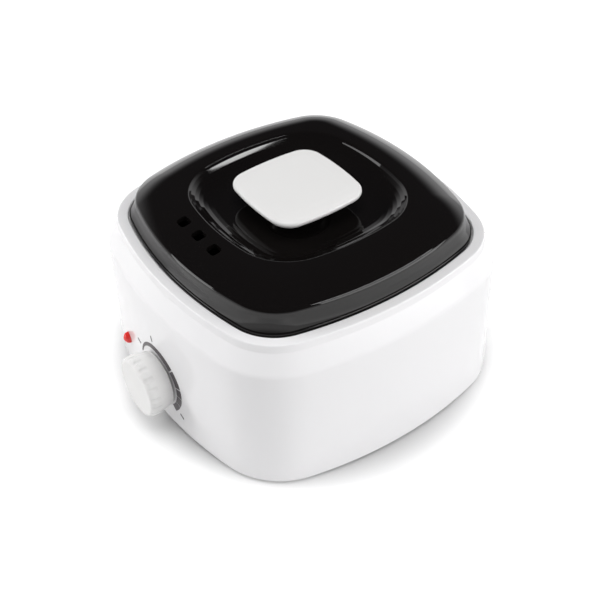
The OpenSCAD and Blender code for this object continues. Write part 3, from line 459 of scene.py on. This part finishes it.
# %% Lid: flange and skirt
flange_top, edge_height, edge_rounding = 90.3, 98.2, 3.0
skirt_flare, flare_ends = 0.55 * MM, 0.5
flange_inset = 12.9
lid_foot = rounded([(17, seat_height, 0), (flange_inset, seat_height, 0.5), (flange_inset, flange_top, 0.7),
                    (flange_inset + 1, flange_top + 0.2, 0)])
lid_rings = [ring(casing_outline, p.x, p.y) for p in lid_foot]
skirt_foot = ring(casing_outline, 14.1, flange_top + 0.3)
skirt_top = ring(crest_outline, 0, edge_height)
for share in (0.02, 0.08, 0.16, 0.26, 0.38, 0.5, 0.62, 0.74, 0.86):
    flare = skirt_flare * (1 - min(share / flare_ends, 1)) ** 2
    blend = between(skirt_foot, skirt_top, share)
    lid_rings.append([p + Vector((p.x, p.y, 0)).normalized() * flare for p in blend])
print("rings up to the lid's upper edge:", len(lid_rings))

# %% [markdown]
# Above the skirt the section turns over a small rounding and goes on as a crown. A true arc would still be steep at the
# dish, so the crown is a parabola that starts in the direction of the rounding's end and is level at the dish.

# %% Lid: edge and crown
crown_rise, crown_reach, crown_height = math.radians(56), 18.0, 107.4
EDGE_STEPS, CROWN_STEPS = 8, 16


def edge_point(turn):
    """Inset and height on the rounding of the lid's upper edge."""
    return edge_rounding * (1 - math.cos(turn)), edge_height + edge_rounding * math.sin(turn)


for step in range(EDGE_STEPS + 1):
    lid_rings.append(ring(crest_outline, *edge_point(crown_rise * step / EDGE_STEPS)))
crown_start = Vector(edge_point(crown_rise))
for step in range(1, CROWN_STEPS + 1):
    share = step / CROWN_STEPS
    height = crown_start.y + (crown_height - crown_start.y) * (1 - (1 - share) ** 2)
    lid_rings.append(ring(crest_outline, crown_start.x + share * crown_reach, height))
print("crown rises", round(crown_height - crown_start.y, 2), "mm")

# %% [markdown]
# The finger dish sinks round the knob. Its wall is steep at the top and runs out softly into a flat floor, with a hole
# for the lid's screw. The wall is written as a chain of short steps, because one long rounding would leave a flat band
# whose mirror image of a lamp is too broad. The underside follows at the shell's thickness.

# %% Lid: dish and underside
dish_floor, dish_under, under_crown = 99.2, 96.7, 104.9
screw_hole = 2.6
UNDER_STEPS = 6
dish_section = rounded([(-2.4, crown_height, 0), (-0.3, crown_height, 1.6), (1.2, 105.6, 2), (3.0, 103.8, 4),
                        (5.0, 102.2, 4), (7.2, 100.9, 4), (9.6, 100.0, 4), (12.2, 99.4, 4), (15, dish_floor, 3),
                        (24, dish_floor, 0)])
under_section = rounded([(24, dish_under, 0), (13, dish_under, 6), (6.2, 98, 6), (-1.6, under_crown, 2),
                         (-3.4, under_crown, 0)])
lid_rings += [ring(dish_outline, p.x, p.y) for p in dish_section]
lid_rings += [circle_ring(dish_outline, r, dish_floor) for r in (18, 10, screw_hole)]
lid_rings += [circle_ring(dish_outline, r, dish_under) for r in (screw_hole, 10, 18)]
lid_rings += [ring(dish_outline, p.x, p.y) for p in under_section]
for step in range(UNDER_STEPS + 1):
    share = 1 - step / UNDER_STEPS
    lid_rings.append(ring(crest_outline, 3.6 + share * 16, 98.8 + (under_crown - 98.8) * (1 - (1 - share) ** 2)))
lid_rings += [ring(crest_outline, inset, height) for inset, height in ((2.6, 97.4), (1.6, 92), (1.2, seat_height))]
lid_cover = skin("lid_cover", lid_rings, closed=True)

# %% [markdown]
# Three small vents pierce the lid on the dial side. Leaving holes in the rings would break their even rows, so the
# vents are cut with a Boolean, as a punch would, and the cutter is removed afterwards.

# %% Vents: the cutter
vent_pitch, vent_width, vent_length, vent_place = 14.0, 7.0, 6.0, 59.4
vent_corner, cutter_height, cutter_depth = 1.8, 108, 14


def vent_cutter():
    """Three upright blocks with rounded corners."""
    mesh = bpy.data.meshes.new("vent_cutter")
    bm = bmesh.new()
    size = Matrix.Diagonal((vent_width * MM, vent_length * MM, cutter_depth * MM, 1))
    for i in (-1, 0, 1):
        place = Matrix.Translation((i * vent_pitch * MM, -vent_place * MM, cutter_height * MM))
        made = bmesh.ops.create_cube(bm, size=1.0, matrix=place @ size)
        upright = {e for v in made["verts"] for e in v.link_edges if abs(e.verts[0].co.z - e.verts[1].co.z) > 5 * MM}
        bmesh.ops.bevel(bm, geom=list(upright), offset=vent_corner * MM, segments=8, profile=0.5, affect="EDGES")
    bm.to_mesh(mesh)
    bm.free()
    return put("vent_cutter", mesh)


cutter = vent_cutter()
print("cutter has", len(cutter.data.polygons), "faces")

# %% [markdown]
# The cut is made at once and kept as a mesh, since a live Boolean would need its cutter. Cut plastic is never razor
# sharp, so a fine bevel breaks the new edges and lets them catch the light.

# %% Vents: the cut
cut = lid_cover.modifiers.new("vents", "BOOLEAN")
cut.object = cutter
cut.solver = "EXACT"
bpy.context.view_layer.update()
cut_mesh = bpy.data.meshes.new_from_object(lid_cover.evaluated_get(bpy.context.evaluated_depsgraph_get()))
lid_cover.modifiers.clear()
lid_cover.data = cut_mesh
bpy.data.objects.remove(cutter)


def soften(piece, name, width, segments, from_angle):
    """A fine bevel along every edge that bends by more than an angle in degrees."""
    bevel = piece.modifiers.new(name, "BEVEL")
    bevel.width = width * MM
    bevel.segments = segments
    bevel.limit_method = "ANGLE"
    bevel.angle_limit = math.radians(from_angle)


soften(lid_cover, "vent_edges", 0.35, 3, from_angle=60)
lid_cover.data.materials.append(finishes["lid_smoked"])
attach(lid_cover, "lid")
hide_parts("lid_shell")
print("lid faces with vents:", len(lid_cover.data.polygons))

# %% [markdown]
# The knob's plate is a solid white pillow: full at the edge, slightly crowned on top, with a flatter underside. A
# subdivided cube would do for a cushion, but its edge would be as soft above as below. A section with a rounding for
# each corner keeps the crisp lower edge.

# %% Knob plate
plate_low, plate_high, flat_inset = 107.8, 113.0, 11.4
plate_section = rounded([(14, plate_low, 0), (1.6, plate_low, 1.5), (0, 109.6, 2.2), (0.2, 111.3, 1.6), (2.2, 112.4, 3),
                         (8, 112.85, 6), (22, plate_high, 0)], steps=8)
plate_rings = [circle_ring(plate_outline, 8, plate_low)]
plate_rings += [ring(plate_outline, p.x, p.y) for p in plate_section if p.x <= flat_inset]
plate_rings += [circle_ring(plate_outline, r, plate_high - 0.02 * r / 8) for r in (10, 4)]
knob_pad = skin("knob_pad", plate_rings, cap_first=True, cap_last=True)
knob_pad.data.materials.append(finishes["knob_white"])
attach(knob_pad, "lid")
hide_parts("knob_plate")

# %% [markdown]
# The control knob widens from its foot, then turns over a large rounding to a flat face. Short finger grooves cross
# that rounding. They could be cut one by one, but a formula is simpler: the radius at each height and angle is that of
# the turned body, less a scallop, so the whole skin is one grid of points.

# %% Control knob: the formula
dial_height, groove_count, groove_depth, groove_half = 28.0, 18, 0.9, math.radians(4.4)
groove_low, groove_high, knob_face = 7.6, 14.3, 14.6
GROOVE_BIAS, GROOVE_LEAN = 1.6, 0.7


def knob_point(radius, proud, angle):
    """A point of the knob, from its distance to the axis, its distance to the casing and its angle."""
    wave = (angle * groove_count / (2 * math.pi)) % 1.0 - 0.5
    nearness = wave * 2 * math.pi / groove_count / groove_half
    along = min(max((proud - groove_low) / (groove_high - groove_low), 0), 1)
    dent = GROOVE_LEAN * groove_depth * math.sin(math.pi * along ** GROOVE_BIAS) * math.sqrt(max(0, 1 - nearness ** 2))
    reach = radius - dent
    return Vector((reach * math.cos(angle), dent - casing_half - proud, dial_height + reach * math.sin(angle))) * MM


print("knob axis at", round(dial_height * MM, 3), "m, grooves:", groove_count)

# %% [markdown]
# The grid itself has twenty columns for each groove, enough to keep a groove's shore smooth under a close look.

# %% Control knob: the skin
knob_profile = rounded([(14.8, 0.8, 0), (15.4, 1.3, 0.4), (15.5, 2.6, 1.5), (16.98, 9.0, 4.0), (17.0, knob_face, 3.2),
                        (11.0, knob_face, 8.0), (0.5, 14.4, 0)], steps=12)
knob_columns = groove_count * 20
knob_body = [[knob_point(p.x, p.y, 2 * math.pi * i / knob_columns) for i in range(knob_columns)] for p in knob_profile]
dial_knob = skin("dial_knob", knob_body, cap_last=True, cap_first=True, sharp=math.radians(35))
dial_knob.data.materials.append(finishes["knob_white"])
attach(dial_knob, "control")
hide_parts("control_knob")

# %% [markdown]
# The lamp's lens is a small red dome pressed into the front. The front is bulged, so the lens leans with it. A sphere
# would be too round: the profile has a short upright rim below a flat dome.

# %% Lens
lamp_across, lamp_height = -40.5, 24.0
lamp_turn = math.asin(lamp_across / casing_bulge)
LENS_COLUMNS = 48
lens_profile = rounded([(3.2, 0.02, 0), (3.2, 0.9, 0.3), (2.7, 2.2, 1.2), (1.2, 3.2, 1.6), (0.12, 3.45, 0)])


def lens_point(radius, proud, angle):
    """A point of the lens, turned about the centre of the front's bulge."""
    x, z = radius * math.cos(angle), radius * math.sin(angle)
    out = casing_bulge + proud
    return Vector((x * math.cos(lamp_turn) + out * math.sin(lamp_turn),
                   casing_bulge - casing_half - out * math.cos(lamp_turn) + x * math.sin(lamp_turn),
                   lamp_height + z)) * MM


lens_rows = [[lens_point(p.x, p.y, 2 * math.pi * i / LENS_COLUMNS) for i in range(LENS_COLUMNS)] for p in lens_profile]
lamp_lens = skin("lamp_lens", lens_rows, cap_first=True, cap_last=True)
lamp_lens.data.materials.append(finishes["lens_red"])
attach(lamp_lens, "housing")
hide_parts("indicator_lens")

# %% [markdown]
# The solids that stay visible have knife edges, which no moulded or pressed piece has. A narrow bevel modifier moves no
# face outward, and gives those edges the thin highlight that real ones have.

# %% Soft edges on the solids
soft_edges = {"base_plate": 0.3, "rubber_feet": 0.3, "inner_pot": 0.15, "heating_well": 0.15, "pot_ears": 0.15,
              "cord_gland": 0.25, "cord_clamp": 0.3, "thermostat": 0.3, "terminal_block": 0.3}
for node, width in soft_edges.items():
    soften(frame["nodes"][node], "soft_edge", width, 2, from_angle=50)
print("softened", len(soft_edges), "solids")

# %% [markdown]
# The studio is a pale table that runs out of sight. More light could make it white, but would burn out the white
# casing. So floor and room are white only to the rays that look at them, from the camera or through glass, and the
# floor also in mirror images. Light Path tells these rays from the ones that light other things.

# %% White where it is looked at
bpy.context.scene.view_settings.view_transform = "Standard"


def looked_at(tree, in_mirrors=False):
    """1 for rays from the camera or through glass, and if asked for those off a shiny face, and otherwise 0."""
    path = add(tree, "ShaderNodeLightPath")
    seen = math_node(tree, "MAXIMUM", path.outputs["Is Camera Ray"], path.outputs["Is Transmission Ray"])
    if in_mirrors:
        seen = math_node(tree, "MAXIMUM", seen, path.outputs["Is Glossy Ray"])
    return seen


print("view transform:", bpy.context.scene.view_settings.view_transform)

# %% [markdown]
# The floor is matt, so that the object's shadow lies on it. To the eye it also glows: not at all under the object, by
# half from a few centimetres out, and fully in the distance. Without glow the floor looks grey, so a band round the
# casing's foot is painted shade, darker than the open floor even where no shadow falls. It deepens the real contact
# shadow there and fades into plain white without a visible edge. A shadow catcher would need a second picture behind
# it, and mirror images would not show the floor.

# %% Floor
FLOOR_HALF = 6
floor_light, floor_seen = (0.85, 0.85, 0.85, 1), (0.62, 0.62, 0.62, 1)
floor_mesh = bpy.data.meshes.new("floor")
floor_corners = [(x * FLOOR_HALF, y * FLOOR_HALF, 0) for x, y in ((-1, -1), (1, -1), (1, 1), (-1, 1))]
floor_mesh.from_pydata(floor_corners, [], [(0, 1, 2, 3)])
floor = put("floor", floor_mesh)
floor_paint = bpy.data.materials.new("floor_paint")
floor_paint.use_nodes = True
tree = floor_paint.node_tree
tree.nodes.clear()
seen = looked_at(tree, in_mirrors=True)
matt = add(tree, "ShaderNodeBsdfDiffuse")
shade = add(tree, "ShaderNodeMix", data_type="RGBA")
shade.inputs["A"].default_value = floor_light
shade.inputs["B"].default_value = floor_seen
tree.links.new(seen, shade.inputs["Factor"])
tree.links.new(shade.outputs["Result"], matt.inputs["Color"])
print("floor is", 2 * FLOOR_HALF, "m across")

# %% [markdown]
# The glow depends on the distance from the middle of the table. Two smooth ramps are added up, a short one at the foot
# of the casing and a long one for the far floor, because one ramp could not be right for both. The short one rises only
# from 88 to 116 mm out, so the floor next to the casing's foot keeps a painted shade.

# %% Glow of the floor
place = add(tree, "ShaderNodeTexCoord")
outward = add(tree, "ShaderNodeVectorMath", operation="LENGTH")
tree.links.new(place.outputs["Object"], outward.inputs[0])


def glow_ramp(start, end, most):
    """Rises smoothly from 0 to the most between two distances in millimetres."""
    ramp = add(tree, "ShaderNodeMapRange", interpolation_type="SMOOTHSTEP")
    for label, value in {"From Min": start * MM, "From Max": end * MM, "To Min": 0.0, "To Max": most}.items():
        ramp.inputs[label].default_value = value
    tree.links.new(outward.outputs["Value"], ramp.inputs["Value"])
    return ramp.outputs["Result"]


# The short ramp adds no glow next to the casing's foot, which paints shade on the floor there.
glow_outside_painted_shade = math_node(tree, "ADD", glow_ramp(88, 116, 0.55), glow_ramp(300, 1200, 0.45))
glow = add(tree, "ShaderNodeEmission")
glow.inputs["Color"].default_value = (1, 1, 1, 1)
tree.links.new(math_node(tree, "MULTIPLY", seen, glow_outside_painted_shade), glow.inputs["Strength"])
both = add(tree, "ShaderNodeAddShader")
tree.links.new(matt.outputs[0], both.inputs[0])
tree.links.new(glow.outputs[0], both.inputs[1])
tree.links.new(both.outputs[0], add(tree, "ShaderNodeOutputMaterial").inputs["Surface"])
floor_mesh.materials.append(floor_paint)
print("floor nodes:", len(tree.nodes))

# %% [markdown]
# The room is bright near the horizon and dim overhead, like a tent that is open at the top. An even white room would be
# simpler, but the lid's level crown mirrors what is overhead and would turn grey. The dim part keeps it black.

# %% Room
HORIZON_ENDS, OVERHEAD_STARTS = 0.12, 0.5
world = bpy.data.worlds.new("studio")
bpy.context.scene.world = world
world.use_nodes = True
tree = world.node_tree
tree.nodes.clear()
place = add(tree, "ShaderNodeTexCoord")
split = add(tree, "ShaderNodeSeparateXYZ")
fade = add(tree, "ShaderNodeValToRGB")
fade.color_ramp.interpolation = "EASE"
fade.color_ramp.elements[0].position = HORIZON_ENDS
fade.color_ramp.elements[0].color = (0.97, 0.965, 0.975, 1)
fade.color_ramp.elements[1].position = OVERHEAD_STARTS
fade.color_ramp.elements[1].color = (0.035, 0.035, 0.04, 1)
lit = add(tree, "ShaderNodeBackground")
lit.inputs["Strength"].default_value = 0.9
plain = add(tree, "ShaderNodeBackground")
plain.inputs["Color"].default_value = (1, 1, 1, 1)
choose = add(tree, "ShaderNodeMixShader")
tree.links.new(place.outputs["Generated"], split.inputs[0])
tree.links.new(split.outputs["Z"], fade.inputs["Fac"])
tree.links.new(fade.outputs["Color"], lit.inputs["Color"])
tree.links.new(looked_at(tree), choose.inputs[0])
tree.links.new(lit.outputs[0], choose.inputs[1])
tree.links.new(plain.outputs[0], choose.inputs[2])
tree.links.new(choose.outputs[0], add(tree, "ShaderNodeOutputWorld").inputs["Surface"])
print("room nodes:", len(tree.nodes))

# %% [markdown]
# Softboxes give the shape its light. Three large fill lamps light the white plastic and are kept out of mirror images,
# which would otherwise cover the lid with pale patches. Two windows and one thin strip are seen in the lid instead, and
# draw the fine lines on its edge and in its dish. Point lamps would give hard shadows and no such lines.

# %% Lamps
aim_height = 60 * MM


def softbox(name, azimuth, elevation, power, width, height, distance=1.5, roll=0, mirrored=False):
    """A soft lamp that faces the object. Angles are in degrees, lengths in metres and the power in watts."""
    lamp = bpy.data.lights.new(name, "AREA")
    lamp.shape = "RECTANGLE"
    lamp.size, lamp.size_y = width, height
    lamp.energy = power
    stand = put(name, lamp)
    side = toward(azimuth, elevation)
    stand.location = side * distance + Vector((0, 0, aim_height))
    stand.rotation_euler = (side.to_track_quat("Z", "Y") @ Quaternion((0, 0, 1), math.radians(roll))).to_euler()
    stand.visible_glossy = mirrored


softbox("overhead_fill", 60, 80, power=12.4, width=0.9, height=0.9, distance=1.6)
softbox("left_fill", -48, 35, power=8, width=0.8, height=0.5)
softbox("right_fill", 155, 35, power=1.8, width=0.8, height=0.5)
softbox("dish_strip", 128, 47, power=2.4, width=1.0, height=0.06, roll=-24, mirrored=True)
softbox("right_window", 121, 24, power=8.2, width=1.25, height=0.75, roll=-18, mirrored=True)
softbox("left_window", -36, 18, power=3.2, width=0.48, height=0.75, roll=20, mirrored=True)
print("lamps:", len(bpy.data.lights))
